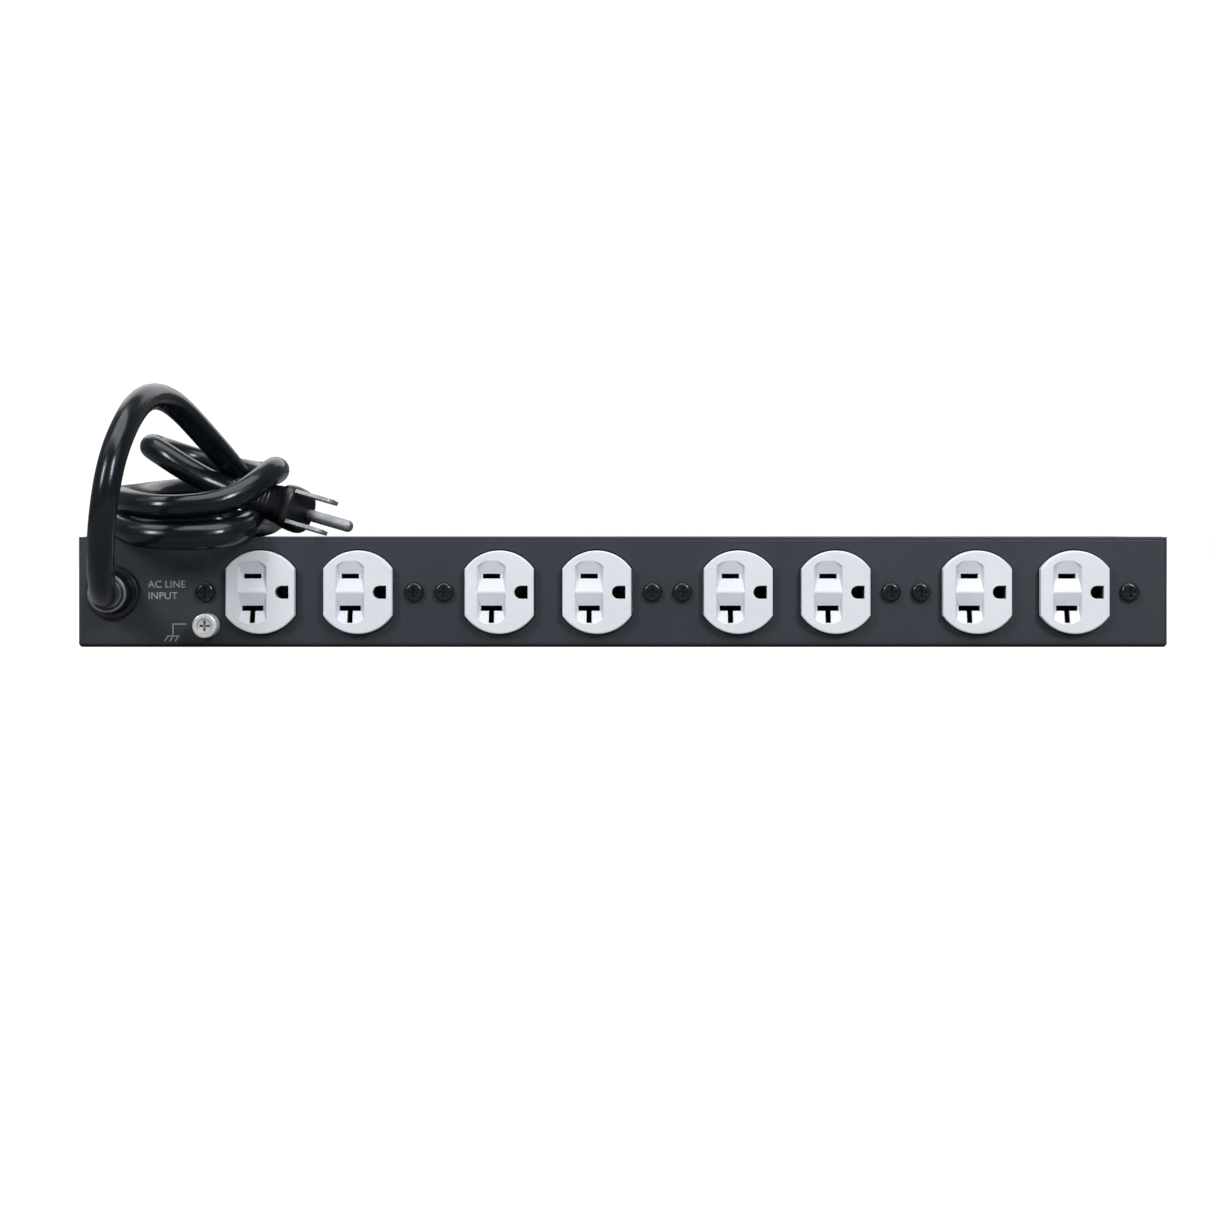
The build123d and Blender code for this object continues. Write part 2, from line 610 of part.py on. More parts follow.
def cord_coil():
    """Closed outer shape of the loose coil: a long ring's envelope, its drooping front and top loop."""
    width = COIL_X[1] - COIL_X[0]
    depth = COIL_Y[1] - COIL_Y[0]
    middle = ((COIL_X[0] + COIL_X[1]) / 2, (COIL_Y[0] + COIL_Y[1]) / 2)
    outline = RectangleRounded(width, depth, width / 2 - 1)
    shape = extrude(Pos(*middle, BODY_HEIGHT) * outline, amount=COIL_TOP - BODY_HEIGHT)
    droop = extrude(Pos(*middle, BODY_HEIGHT - COIL_DROOP) * outline, amount=COIL_DROOP + 1)
    shape += droop & block(COIL_X, (COIL_Y[0], REAR - 0.3), (30, 60))
    run_x = FINGER_LOW[0] - FINGER_HIGH[0]
    run_z = FINGER_HIGH[1] - FINGER_LOW[1]
    slope = degrees(Vector(run_x, 0, -run_z).get_angle(Vector(1, 0, 0)) * pi / 180)
    loop = Box((run_x ** 2 + run_z ** 2) ** 0.5, FINGER_Y[1] - FINGER_Y[0], CORD_DIAMETER)
    loop = fillet(loop.edges().filter_by(Axis.Z), CORD_DIAMETER)
    centre = ((FINGER_LOW[0] + FINGER_HIGH[0]) / 2, sum(FINGER_Y) / 2, (FINGER_LOW[1] + FINGER_HIGH[1]) / 2)
    return shape + Pos(*centre) * Rot(0, slope, 0) * loop


def plug_frame():
    """Plane on the plug's face: normal along the blades, its own Y towards the blades' side."""
    yaw = radians(PLUG_YAW)
    dip = radians(PLUG_DIP)
    roll = radians(PLUG_ROLL)
    normal = Vector(cos(dip) * cos(yaw), cos(dip) * sin(yaw), -sin(dip))
    level = Vector(-sin(yaw), cos(yaw), 0)
    across = level * cos(roll) + normal.cross(level) * sin(roll)
    return Plane(origin=PLUG_FACE, x_dir=across, z_dir=normal)


def plug_body():
    face = plug_frame()
    head = extrude(face.offset(-7) * RectangleRounded(18.4, 21.5, 6), amount=7)
    head = fillet(head.faces().sort_by(Axis.X)[-1].edges(), 1.2)
    grip = loft([
        face.offset(-7) * RectangleRounded(16, 18, 6),
        face.offset(-20) * RectangleRounded(14.5, 15, 6),
        face.offset(-PLUG_LENGTH) * RectangleRounded(13, 13, 6),
    ])
    return head + grip


def plug_blades():
    face = plug_frame()
    pieces = []
    for side in (-1, 1):
        outline = Pos(side * BLADE_SPACING / 2, PIN_OFFSET / 2) * Rectangle(BLADE[1], BLADE[0])
        blade = extrude(face * outline, amount=BLADE[2])
        ends = [edge for edge in blade.edges() if abs(edge.length - BLADE[1]) < 0.01]
        ends = sorted(ends, key=lambda edge: (edge.center() - Vector(*PLUG_FACE)).length)[-2:]
        hole = Pos(side * BLADE_SPACING / 2, PIN_OFFSET / 2, BLADE_HOLE_OUT) * Rot(0, 90, 0)
        pieces.append(fillet(ends, 1.6) - face.location * hole * Cylinder(BLADE_HOLE, 4))
    return group(pieces)


def plug_ground_pin():
    face = plug_frame()
    centre = Pos(0, -PIN_OFFSET / 2)
    shank = extrude(face * centre * Circle(PIN_RADIUS), amount=PIN_LENGTH)
    ends = [edge for edge in shank.edges() if edge.geom_type == GeomType.CIRCLE]
    far = sorted(ends, key=lambda edge: (edge.center() - Vector(*PLUG_FACE)).length)[-1]
    return fillet(far, 2.0)


# ---- rocker switch ----
def switch_housing():
    cut_x, cut_z = SWITCH_CUTOUT
    front = FRONT + BEZEL_THICK
    back = front - SWITCH_DEPTH - BEZEL_THICK
    bezel = prism_y(RectangleRounded(*BEZEL, 1.5), FRONT, front, SWITCH_X, MID_Z)
    bezel = fillet(bezel.faces().sort_by(Axis.Y)[-1].edges(), 0.7)
    shape = bezel + prism_y(RectangleRounded(cut_x, cut_z, 1.0), back, FRONT, SWITCH_X, MID_Z)
    opening = RectangleRounded(*ROCKER_OPENING, 0.8)
    shape -= prism_y(opening, back + 2, front + 1, SWITCH_X, MID_Z)
    hole = ROCKER_OPENING[0] / 2 + 1.5
    shape -= rod_x(ROCKER_PIVOT_Y, MID_Z, TRUNNION_RADIUS + TRUNNION_CLEARANCE, SWITCH_X - hole, SWITCH_X + hole)
    for pole in POLE_X:
        for rise in (0.0, -ARM_HALF_LENGTH):
            x = SWITCH_X + pole
            z = MID_Z + rise
            shape -= block((x - 2.4, x + 2.4), (back - 1, back + 3), (z - 0.4, z + 0.4))
    return shape


def rocker_frame():
    """Plane across the rocker: its own X is outward and its own Y is up, turned to the rest angle."""
    turn = radians(ROCKER_REST)
    outward = (0, cos(turn), sin(turn))
    return Plane(origin=(SWITCH_X, ROCKER_PIVOT_Y, MID_Z), x_dir=outward, z_dir=(1, 0, 0))


def switch_rocker():
    """Dished rocker whose ends are arcs about its pivot, with trunnions and plunger bores."""
    lip = radians(25)
    skirt = radians(-20)
    corner = (ROCKER_RADIUS * sin(lip), ROCKER_RADIUS * cos(lip))
    foot = (ROCKER_RADIUS * sin(skirt), ROCKER_RADIUS * cos(skirt))
    front = Line((2.6, 0), corner)
    end = ThreePointArc(corner, (0, ROCKER_RADIUS), foot)
    under = Polyline(foot, (-6.4, 5.0), (-6.4, 0))
    half = make_face(front + end + under + Line((-6.4, 0), (2.6, 0)))
    outline = half + mirror(half, Plane.XZ)
    frame = rocker_frame()
    shape = extrude(frame * outline, amount=ROCKER_WIDTH / 2, both=True)
    trunnion = ROCKER_OPENING[0] / 2 + 1.2
    shape += rod_x(ROCKER_PIVOT_Y, MID_Z, TRUNNION_RADIUS, SWITCH_X - trunnion, SWITCH_X + trunnion)
    for pole in POLE_X:
        bore = Plane(origin=frame.from_local_coords((-7, 0, pole)), z_dir=frame.x_dir)
        shape -= extrude(bore * Circle(1.5), amount=7)
    return shape


def switch_plungers():
    frame = rocker_frame()
    pieces = []
    for pole in POLE_X:
        tip = Plane(origin=frame.from_local_coords((-PLUNGER_TIP, 0, pole)), z_dir=frame.x_dir)
        rod = extrude(tip * Circle(1.3), amount=PLUNGER_TIP - 3.6)
        ends = rod.edges().filter_by(GeomType.CIRCLE).sort_by(Axis.Y)
        pieces.append(fillet(ends[0], 1.0))
    return group(pieces)


def switch_springs():
    frame = rocker_frame()
    pieces = []
    for pole in POLE_X:
        base = Plane(origin=frame.from_local_coords((-3.3, 0, pole)), z_dir=frame.x_dir)
        coil = Helix(pitch=0.75, height=3.0, radius=1.05)
        section = Plane(origin=coil @ 0, z_dir=coil % 0) * Circle(0.2)
        pieces.append(base * sweep(section, path=coil))
    return group(pieces)


def contact_arms():
    """See-saw contact bars, one for each pole, tilted to their rest angle."""
    pieces = []
    for pole in POLE_X:
        x = SWITCH_X + pole
        arm = Box(3.4, ARM_THICK, 2 * ARM_HALF_LENGTH)
        pieces.append(Pos(x, ARM_PIVOT_Y, MID_Z) * Rot(ARM_REST, 0, 0) * arm)
    return group(pieces)


def switch_terminals():
    back = FRONT - SWITCH_DEPTH
    pieces = []
    for pole in POLE_X:
        x = SWITCH_X + pole
        for rise, gap in ((0.0, 0.35), (-ARM_HALF_LENGTH, 1.45)):
            z = MID_Z + rise
            top = ARM_PIVOT_Y - ARM_THICK / 2 - gap
            blade = block((x - 2.4, x + 2.4), (back - 8, top - 1), (z - 0.4, z + 0.4))
            pad = block((x - 1.6, x + 1.6), (top - 1, top), (z - 1.0, z + 1.0))
            pieces.append(blade + pad)
    return group(pieces)


def switch_lamp():
    """Neon lamp across the housing, under the rocker's upper half."""
    shape = rod_x(ROCKER_PIVOT_Y - 8.5, MID_Z + 9.6, 1.5, SWITCH_X - 6, SWITCH_X + 6)
    return fillet(shape.edges().filter_by(GeomType.CIRCLE), 1.2)


# ---- circuit breaker ----
def breaker_body():
    half_x, half_z = BREAKER_HALF
    back = PANEL_BACK - BREAKER_DEPTH
    shape = block((BREAKER_X - half_x, BREAKER_X + half_x), (back, PANEL_BACK), (MID_Z - half_z, MID_Z + half_z))
    shape = fillet(shape.edges().filter_by(Axis.Y), 1.0)
    shape += rod_y(BREAKER_X, MID_Z, BUSHING_RADIUS, PANEL_BACK, FRONT + BUSHING_OUT)
    bore = BUTTON_RADIUS + BUTTON_CLEARANCE
    deep = FRONT + BUTTON_OUT - BUTTON_LENGTH - 1
    return shape - rod_y(BREAKER_X, MID_Z, bore, deep, FRONT + BUSHING_OUT + 1)


def breaker_nut():
    shape = prism_y(RegularPolygon(8.0, 6), FRONT, FRONT + 2.6, BREAKER_X, MID_Z)
    return shape - rod_y(BREAKER_X, MID_Z, BUSHING_RADIUS, FRONT - 1, FRONT + 4)


def breaker_button():
    front = FRONT + BUTTON_OUT
    shape = rod_y(BREAKER_X, MID_Z, BUTTON_RADIUS, front - BUTTON_LENGTH, front)
    return fillet(shape.faces().sort_by(Axis.Y)[-1].edges(), 0.6)


def breaker_terminals():
    back = PANEL_BACK - BREAKER_DEPTH
    pieces = []
    for rise in (-9.0, 9.0):
        z = MID_Z + rise
        pieces.append(block((BREAKER_X - 3.15, BREAKER_X + 3.15), (back - 8, back), (z - 0.4, z + 0.4)))
    return group(pieces)


# ---- inside wiring ----
def wires_along(routes):
    return [tube(points, WIRE_RADIUS)[0] for points in routes]


def jumpers(side):
    """Wires from one duplex to the next along the hot side (1) or the neutral side (-1)."""
    y_start = BASE_FRONT + 8.5
    z = MID_Z + side * WIRE_RISE
    z_back = MID_Z + side * (WIRE_RISE - 5)
    routes = []
    for left, right in zip(DUPLEX_X, DUPLEX_X[1:]):
        start = left + TERMINAL_X[1]
        stop = right + TERMINAL_X[0]
        routes.append([
            (start, y_start, z),
            (start, BASE_BACK + 5, z),
            (start + 14, WIRE_BACK, z_back),
            (start + 40, WIRE_BACK + 1, z_back - side * 1.5),
            (stop - 14, WIRE_BACK, z_back),
            (stop, BASE_BACK + 5, z),
            (stop, y_start, z),
        ])
    return wires_along(routes)


def conductor_end(turn):
    """Where the cord conductor at this angle ends inside the chassis, and a point straight on."""
    x = GLAND_X + 2.4 * cos(radians(turn))
    z = GLAND_Z + 2.4 * sin(radians(turn))
    return [(x, REAR + 30, z), (x, REAR + 40, z)]


def hot_wires():
    """Cord to breaker, breaker to switch, switch to the first duplex, and the jumpers."""
    tab_end = PANEL_BACK - BREAKER_DEPTH - 8
    switch_end = FRONT - SWITCH_DEPTH - 8
    first = DUPLEX_X[0] + TERMINAL_X[0]
    feed = conductor_end(90) + [
        (GLAND_X + 6, -1, MID_Z + 8),
        (BREAKER_X, 6, MID_Z + 9),
        (BREAKER_X, tab_end, MID_Z + 9),
    ]
    link = [
        (BREAKER_X, tab_end, MID_Z - 9),
        (BREAKER_X, 11, MID_Z - 9),
        (BREAKER_X + 14, 4, MID_Z - 6),
        (SWITCH_X + POLE_X[0], 12, MID_Z),
        (SWITCH_X + POLE_X[0], switch_end, MID_Z),
    ]
    supply = [
        (SWITCH_X + POLE_X[1], switch_end, MID_Z - ARM_HALF_LENGTH),
        (SWITCH_X + POLE_X[1], 14, MID_Z - ARM_HALF_LENGTH),
        (SWITCH_X + 12, -6, MID_Z + 6),
        (first, BASE_BACK + 9, MID_Z + WIRE_RISE),
        (first, BASE_FRONT + 8.5, MID_Z + WIRE_RISE),
    ]
    return group(wires_along([feed, link, supply]) + jumpers(1))


def neutral_wires():
    first = DUPLEX_X[0] + TERMINAL_X[0]
    feed = conductor_end(330) + [
        (GLAND_X + 24, -4, MID_Z - 10),
        (first - 16, -8, MID_Z - WIRE_RISE + 2),
        (first, BASE_BACK + 9, MID_Z - WIRE_RISE),
        (first, BASE_FRONT + 8.5, MID_Z - WIRE_RISE),
    ]
    return group(wires_along([feed]) + jumpers(-1))


def ground_wires():
    """Cord to the ring terminal, and from strap to strap."""
    y_ring = REAR_IN + 2.2
    feed = conductor_end(210) + [
        (GLAND_X + 1, -6, 13),
        (GLAND_X + 10, -17, GROUND_SCREW_Z),
        (GLAND_X + 13, -38, GROUND_SCREW_Z),
        (RING_BARREL_END - 6, y_ring, GROUND_SCREW_Z),
        (RING_BARREL_END, y_ring, GROUND_SCREW_Z),
    ]
    routes = [feed]
    y_strap = BASE_BACK + STRAP_THICK + WIRE_RADIUS + 0.1
    reach = 3.6
    for left, right in zip(DUPLEX_X, DUPLEX_X[1:]):
        start = left + STRAP_SCREW_X + reach
        stop = right + STRAP_SCREW_X - reach
        routes.append([
            (start, y_strap, MID_Z),
            (start + 12, y_strap, MID_Z),
            (start + 30, y_strap + 5, MID_Z + 1),
            (stop - 30, y_strap + 5, MID_Z),
            (stop - 12, y_strap, MID_Z),
            (stop, y_strap, MID_Z),
        ])
    return group(wires_along(routes))


# ---- all nodes ----
SINGLE_NODES = {
    "chassis_base": chassis_base,
    "top_cover": top_cover,
    "cover_screws": cover_screws,
    "front_panel": front_panel,
    "panel_screws": panel_screws,
    "receptacle_screws": receptacle_screws,
    "terminal_screws": terminal_screws,
    "ground_collar": ground_collar,
    "ground_screw": ground_screw,
    "ground_washer": ground_washer,
    "ground_ring_terminal": ground_ring_terminal,
    "ground_nut": ground_nut,
    "strain_relief": strain_relief,
    "strain_relief_nut": strain_relief_nut,
    "cord_entry": cord_entry,
    "cord_lead": cord_lead,
    "cord_coil": cord_coil,
    "plug_body": plug_body,
    "plug_blades": plug_blades,
    "plug_ground_pin": plug_ground_pin,
    "switch_housing": switch_housing,
    "switch_rocker": switch_rocker,
    "switch_plungers": switch_plungers,
    "switch_springs": switch_springs,
    "switch_contact_arms": contact_arms,
    "switch_terminals": switch_terminals,
    "switch_lamp": switch_lamp,
    "breaker_body": breaker_body,
    "breaker_nut": breaker_nut,
    "breaker_button": breaker_button,
    "breaker_terminals": breaker_terminals,
    "hot_wires": hot_wires,
    "neutral_wires": neutral_wires,
    "ground_wires": ground_wires,
}

os.makedirs("parts", exist_ok=True)
for name, make in SINGLE_NODES.items():
    save(name, make())
for number, x in enumerate(DUPLEX_X, start=1):
    prefix = "outlet_" + str(number)
    save(prefix + "_face", outlet_face(x))
    save(prefix + "_base", outlet_base(x))
    save(prefix + "_strap", mounting_strap(x))
    save(prefix + "_hot_contacts", blade_contacts(x, 1))
    save(prefix + "_neutral_contacts", blade_contacts(x, -1))
    save(prefix + "_ground_contact", ground_contact(x))
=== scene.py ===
import json
import math
import bpy
from mathutils import Matrix, Vector


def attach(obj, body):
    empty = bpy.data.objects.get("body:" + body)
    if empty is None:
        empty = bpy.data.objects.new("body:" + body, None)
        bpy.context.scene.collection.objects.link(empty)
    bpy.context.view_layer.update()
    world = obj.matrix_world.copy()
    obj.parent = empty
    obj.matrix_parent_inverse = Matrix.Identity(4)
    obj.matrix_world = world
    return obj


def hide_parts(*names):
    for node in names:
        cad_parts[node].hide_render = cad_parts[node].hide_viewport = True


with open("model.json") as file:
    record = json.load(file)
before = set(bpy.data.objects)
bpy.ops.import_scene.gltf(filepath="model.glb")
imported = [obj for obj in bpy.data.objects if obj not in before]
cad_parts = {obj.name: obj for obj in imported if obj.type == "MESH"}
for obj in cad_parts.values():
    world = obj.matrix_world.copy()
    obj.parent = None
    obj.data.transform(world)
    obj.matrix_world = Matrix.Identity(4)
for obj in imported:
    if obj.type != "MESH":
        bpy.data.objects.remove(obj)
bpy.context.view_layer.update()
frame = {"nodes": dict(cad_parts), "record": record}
NODES = frame["nodes"]
MM = 0.001
REAR = -0.054                               # outer face of the rear wall
GLAND_X, GLAND_Z = -0.2039, 0.0218          # axis of the cord's boot


# ---- materials ----
class Shader:
    """A principled material with short calls for its nodes."""

    def __init__(self, name, **sockets):
        self.mat = bpy.data.materials.new(name)
        self.mat.use_nodes = True
        self.tree = self.mat.node_tree
        self.bsdf = self.tree.nodes["Principled BSDF"]
        for socket, value in sockets.items():
            self.bsdf.inputs[socket.replace("_", " ")].default_value = value
        self.place = self.node("ShaderNodeTexCoord").outputs["Object"]

    def node(self, kind, **inputs):
        made = self.tree.nodes.new(kind)
        for key, value in inputs.items():
            self.plug(made.inputs[key.replace("_", " ")], value)
        return made

    def plug(self, socket, value):
        if isinstance(value, bpy.types.NodeSocket):
            self.tree.links.new(value, socket)
        else:
            socket.default_value = value

    def noise(self, scale, detail=3.0, rough=0.55, stretch=None, seed=0.0):
        where = self.place
        if stretch or seed:
            mapping = self.node("ShaderNodeMapping", Vector=where, Scale=stretch or (1, 1, 1))
            mapping.inputs["Location"].default_value = (seed, seed * 0.7, seed * 1.3)
            where = mapping.outputs[0]
        made = self.node("ShaderNodeTexNoise", Vector=where, Scale=scale, Detail=detail, Roughness=rough)
        return made.outputs["Fac"]

    def remap(self, value, low, high, to_low=0.0, to_high=1.0):
        made = self.node("ShaderNodeMapRange", Value=value)
        made.interpolation_type = "SMOOTHSTEP"
        for key, number in (("From Min", low), ("From Max", high), ("To Min", to_low), ("To Max", to_high)):
            made.inputs[key].default_value = number
        return made.outputs[0]

    def maths(self, operation, a, b):
        made = self.tree.nodes.new("ShaderNodeMath")
        made.operation = operation
        self.plug(made.inputs[0], a)
        self.plug(made.inputs[1], b)
        return made.outputs[0]

    def mix(self, factor, a, b):
        made = self.tree.nodes.new("ShaderNodeMix")
        made.data_type = "RGBA"
        self.plug(made.inputs[0], factor)
        self.plug(made.inputs[6], a)
        self.plug(made.inputs[7], b)
        return made.outputs[2]

    def edges(self, radius, low=0.02, high=0.25):
        """A mask, 1 on sharp edges and 0 on flats, and the rounded normal that it is measured from."""
        bevel = self.node("ShaderNodeBevel", Radius=radius)
        bevel.samples = 6
        true = self.node("ShaderNodeNewGeometry").outputs["Normal"]
        dot = self.tree.nodes.new("ShaderNodeVectorMath")
        dot.operation = "DOT_PRODUCT"
        self.plug(dot.inputs[0], bevel.outputs[0])
        self.plug(dot.inputs[1], true)
        lean = self.maths("SUBTRACT", 1.0, dot.outputs["Value"])
        return self.remap(lean, low, high), bevel.outputs[0]

    def bump(self, height, strength, distance, normal=None):
        made = self.node("ShaderNodeBump", Height=height, Strength=strength, Distance=distance)
        if normal is not None:
            self.plug(made.inputs["Normal"], normal)
        return made.outputs[0]

    def shade(self, colour, dark, reach, open_at, shut_at):
        """Painted shade: darkens a colour where another surface is within reach, as in a slot or a recess,
        where shade falls.
        """
        room = self.node("ShaderNodeAmbientOcclusion", Distance=reach)
        room.samples = 8
        return self.mix(self.remap(room.outputs["AO"], shut_at, open_at), dark, colour)

    def set(self, socket, value):
        self.plug(self.bsdf.inputs[socket], value)


def rgb(red, green, blue):
    return (red, green, blue, 1.0)


def coated(name, dark, light, rough, grain, depth, edge=None, radius=0.0004, metallic=0.0,
           blotch=28.0, specular=0.5, wear_limit=0.5, painted_shade=None):
    """Painted, moulded or plated surface: clouded colour, fine grain in relief, worn or lighter edges, and
    painted shade in crevices.
    """
    s = Shader(name, Metallic=metallic, Specular_IOR_Level=specular)
    cloud = s.remap(s.noise(blotch, 4.0, seed=3.1), 0.32, 0.68)
    speck = s.remap(s.noise(grain * 0.45, 2.0, seed=1.7), 0.4, 0.62)
    colour = s.mix(cloud, dark, light)
    colour = s.mix(s.maths("MULTIPLY", speck, 0.22), colour, light)
    smear = s.noise(blotch * 2.6, 5.0, 0.6, seed=7.9)
    roughness = s.remap(smear, 0.3, 0.7, rough[0], rough[1])
    mask, soft = s.edges(radius)
    if edge is not None:
        rub = s.remap(s.noise(blotch * 9, 4.0, 0.7, seed=11.3), 0.46, 0.66)
        rub = s.maths("MULTIPLY", mask, s.maths("MULTIPLY", rub, wear_limit))
        colour = s.mix(rub, colour, edge)
    # painted shade where other surfaces are near, in slots, recesses and under parts
    if painted_shade:
        colour = s.shade(colour, *painted_shade)
    s.set("Base Color", colour)
    s.set("Roughness", roughness)
    texture = s.noise(grain, 3.0, 0.6)
    s.set("Normal", s.bump(texture, 1.0, depth, soft))
    return s.mat


GRAIN_STRETCH = (1, 40, 40)                 # long along X, fine across it


def brushed(name, dark, light, rough, lines, depth, metallic=1.0, radius=0.0003, edge=None, painted_shade=None):
    """Metal with a drawn or rolled grain along X, and painted shade in crevices."""
    s = Shader(name, Metallic=metallic, Specular_IOR_Level=0.5)
    streak = s.noise(lines, 4.0, 0.65, stretch=GRAIN_STRETCH, seed=2.3)
    cloud = s.remap(s.noise(60.0, 4.0, seed=5.2), 0.3, 0.7)
    colour = s.mix(s.remap(streak, 0.35, 0.65), dark, light)
    colour = s.mix(s.maths("MULTIPLY", cloud, 0.3), colour, dark)
    mask, soft = s.edges(radius)
    if edge is not None:
        colour = s.mix(s.maths("MULTIPLY", mask, 0.45), colour, edge)
    # painted shade where other surfaces are near, in slots and recesses
    if painted_shade:
        colour = s.shade(colour, *painted_shade)
    s.set("Base Color", colour)
    uneven = s.maths("ADD", s.maths("MULTIPLY", streak, 0.7), s.maths("MULTIPLY", cloud, 0.3))
    s.set("Roughness", s.remap(uneven, 0.3, 0.75, rough[0], rough[1]))
    s.set("Normal", s.bump(streak, 1.0, depth, soft))
    return s.mat


# coated: dark and light colour, roughness range, grain per metre, relief in metres
# painted shade in slots and recesses: dark colour, reach in metres, and how open the surface is where
# darkening begins and is full
# powder coat with painted shade along the bottom bend and under the outlets, the cord boot and the cord
POWDER = coated("powder_coat", rgb(0.0172, 0.0240, 0.0332), rgb(0.0212, 0.0290, 0.0392), (0.46, 0.53),
                2300.0, 0.00007, edge=rgb(0.10, 0.11, 0.12), radius=0.0006, blotch=14.0, wear_limit=0.35,
                painted_shade=(rgb(0.004, 0.0055, 0.0075), 0.007, 0.66, 0.34))
PANEL = brushed("panel_coat", rgb(0.026, 0.030, 0.035), rgb(0.042, 0.047, 0.054), (0.36, 0.5), 60.0, 0.00002,
                metallic=0.3, edge=rgb(0.16, 0.17, 0.18))
# painted shade in the screw's cross recess
SCREW = coated("black_screw", rgb(0.0028, 0.0036, 0.0050), rgb(0.0052, 0.0064, 0.0084), (0.16, 0.26),
               1800.0, 0.00001, edge=rgb(0.085, 0.092, 0.105), radius=0.00025, blotch=120.0, wear_limit=0.7,
               painted_shade=(rgb(0.001, 0.0012, 0.0016), 0.0015, 0.6, 0.3))
ZINC = brushed("zinc_steel", rgb(0.42, 0.43, 0.44), rgb(0.62, 0.63, 0.64), (0.26, 0.42), 90.0, 0.00002)
PRONG = coated("prong_plate", rgb(0.24, 0.25, 0.265), rgb(0.36, 0.37, 0.385), (0.38, 0.52), 1500.0, 0.00001,
               edge=rgb(0.5, 0.5, 0.52), radius=0.0003, metallic=0.7, blotch=150.0)
# painted shade in the collar's cross recess
NICKEL = coated("nickel", rgb(0.80, 0.81, 0.82), rgb(0.92, 0.92, 0.92), (0.26, 0.42), 1500.0, 0.00001,
                radius=0.0003, metallic=0.45, blotch=120.0,
                painted_shade=(rgb(0.05, 0.05, 0.055), 0.003, 0.55, 0.2))
# painted shade on the contacts deep inside the slots
BRASS = brushed("brass", rgb(0.34, 0.21, 0.08), rgb(0.52, 0.36, 0.15), (0.34, 0.52), 80.0, 0.00002,
                painted_shade=(rgb(0.006, 0.006, 0.006), 0.02, 0.85, 0.35))
# painted shade inside the blade slots
NYLON = coated("white_nylon", rgb(0.67, 0.705, 0.755), rgb(0.72, 0.75, 0.795), (0.30, 0.42), 1700.0, 0.00002,
               edge=rgb(0.80, 0.82, 0.85), radius=0.0004, blotch=40.0, wear_limit=0.5,
               painted_shade=(rgb(0.010, 0.012, 0.015), 0.006, 0.50, 0.30))
GREY_BASE = coated("grey_base", rgb(0.16, 0.165, 0.17), rgb(0.24, 0.245, 0.25), (0.5, 0.66), 1600.0, 0.00005)
JACKET_SHINE = rgb(0.80, 0.90, 1.0)
JACKET = coated("cord_jacket", rgb(0.0030, 0.0042, 0.0066), rgb(0.0052, 0.0070, 0.0100), (0.16, 0.23),
                500.0, 0.000015, radius=0.0002, blotch=45.0, specular=0.42)
JACKET.node_tree.nodes["Principled BSDF"].inputs["Specular Tint"].default_value = JACKET_SHINE
MOULDING = coated("plug_moulding", rgb(0.0045, 0.0062, 0.0088), rgb(0.0080, 0.0104, 0.0140), (0.26, 0.40),
                  1500.0, 0.00004, edge=rgb(0.04, 0.045, 0.05), radius=0.0004, blotch=60.0)
GLAND = coated("gland_nylon", rgb(0.0030, 0.0040, 0.0055), rgb(0.0060, 0.0075, 0.0095), (0.22, 0.34),
               1800.0, 0.00003, edge=rgb(0.06, 0.065, 0.07), radius=0.0005, blotch=70.0)
SWITCH = coated("switch_black", rgb(0.011, 0.012, 0.013), rgb(0.020, 0.021, 0.022),
                (0.36, 0.50), 2600.0, 0.00004,
                edge=rgb(0.05, 0.05, 0.055), radius=0.0004, blotch=80.0)
BREAKER = coated("breaker_black", rgb(0.012, 0.012, 0.013), rgb(0.022, 0.022, 0.023),
                 (0.45, 0.6), 2200.0, 0.00005,
                 edge=rgb(0.05, 0.05, 0.05), blotch=80.0)
BUTTON = coated("button_white", rgb(0.70, 0.70, 0.68), rgb(0.80, 0.80, 0.78), (0.26, 0.38), 1900.0, 0.00002,
                edge=rgb(0.88, 0.88, 0.86), blotch=90.0)
COPPER = brushed("contact_copper", rgb(0.55, 0.32, 0.18), rgb(0.78, 0.50, 0.33), (0.24, 0.42), 90.0, 0.00002)
WIRE_BLACK = coated("wire_black", rgb(0.010, 0.010, 0.011), rgb(0.018, 0.018, 0.019),
                    (0.3, 0.42), 1400.0, 0.00003)
WIRE_WHITE = coated("wire_white", rgb(0.60, 0.60, 0.57), rgb(0.70, 0.70, 0.67), (0.3, 0.42), 1400.0, 0.00003)
WIRE_GREEN = coated("wire_green", rgb(0.015, 0.17, 0.045), rgb(0.03, 0.24, 0.07),
                    (0.3, 0.42), 1400.0, 0.00003)
INK = coated("printed_ink", rgb(0.24, 0.26, 0.285), rgb(0.38, 0.40, 0.43), (0.4, 0.55), 2600.0, 0.00001)


def red_rocker():
    s = Shader("rocker_red", Specular_IOR_Level=0.5, Transmission_Weight=0.15, IOR=1.49)
    cloud = s.remap(s.noise(90.0, 4.0), 0.3, 0.7)
    s.set("Base Color", s.mix(cloud, rgb(0.42, 0.012, 0.010), rgb(0.56, 0.025, 0.016)))
    s.set("Roughness", s.remap(s.noise(240.0, 4.0, seed=4.0), 0.3, 0.7, 0.14, 0.26))
    s.set("Normal", s.bump(s.noise(1900.0), 1.0, 0.000015, s.edges(0.0005)[1]))
    return s.mat


def lamp_glass():
    s = Shader("lamp_glass", Transmission_Weight=0.9, IOR=1.45)
    s.set("Base Color", s.mix(s.noise(300.0), rgb(0.95, 0.62, 0.42), rgb(0.98, 0.74, 0.55)))
    s.set("Roughness", s.remap(s.noise(500.0, seed=2.0), 0.3, 0.7, 0.04, 0.12))
    s.set("Normal", s.bump(s.noise(700.0, seed=6.0), 1.0, 0.00001))
    return s.mat


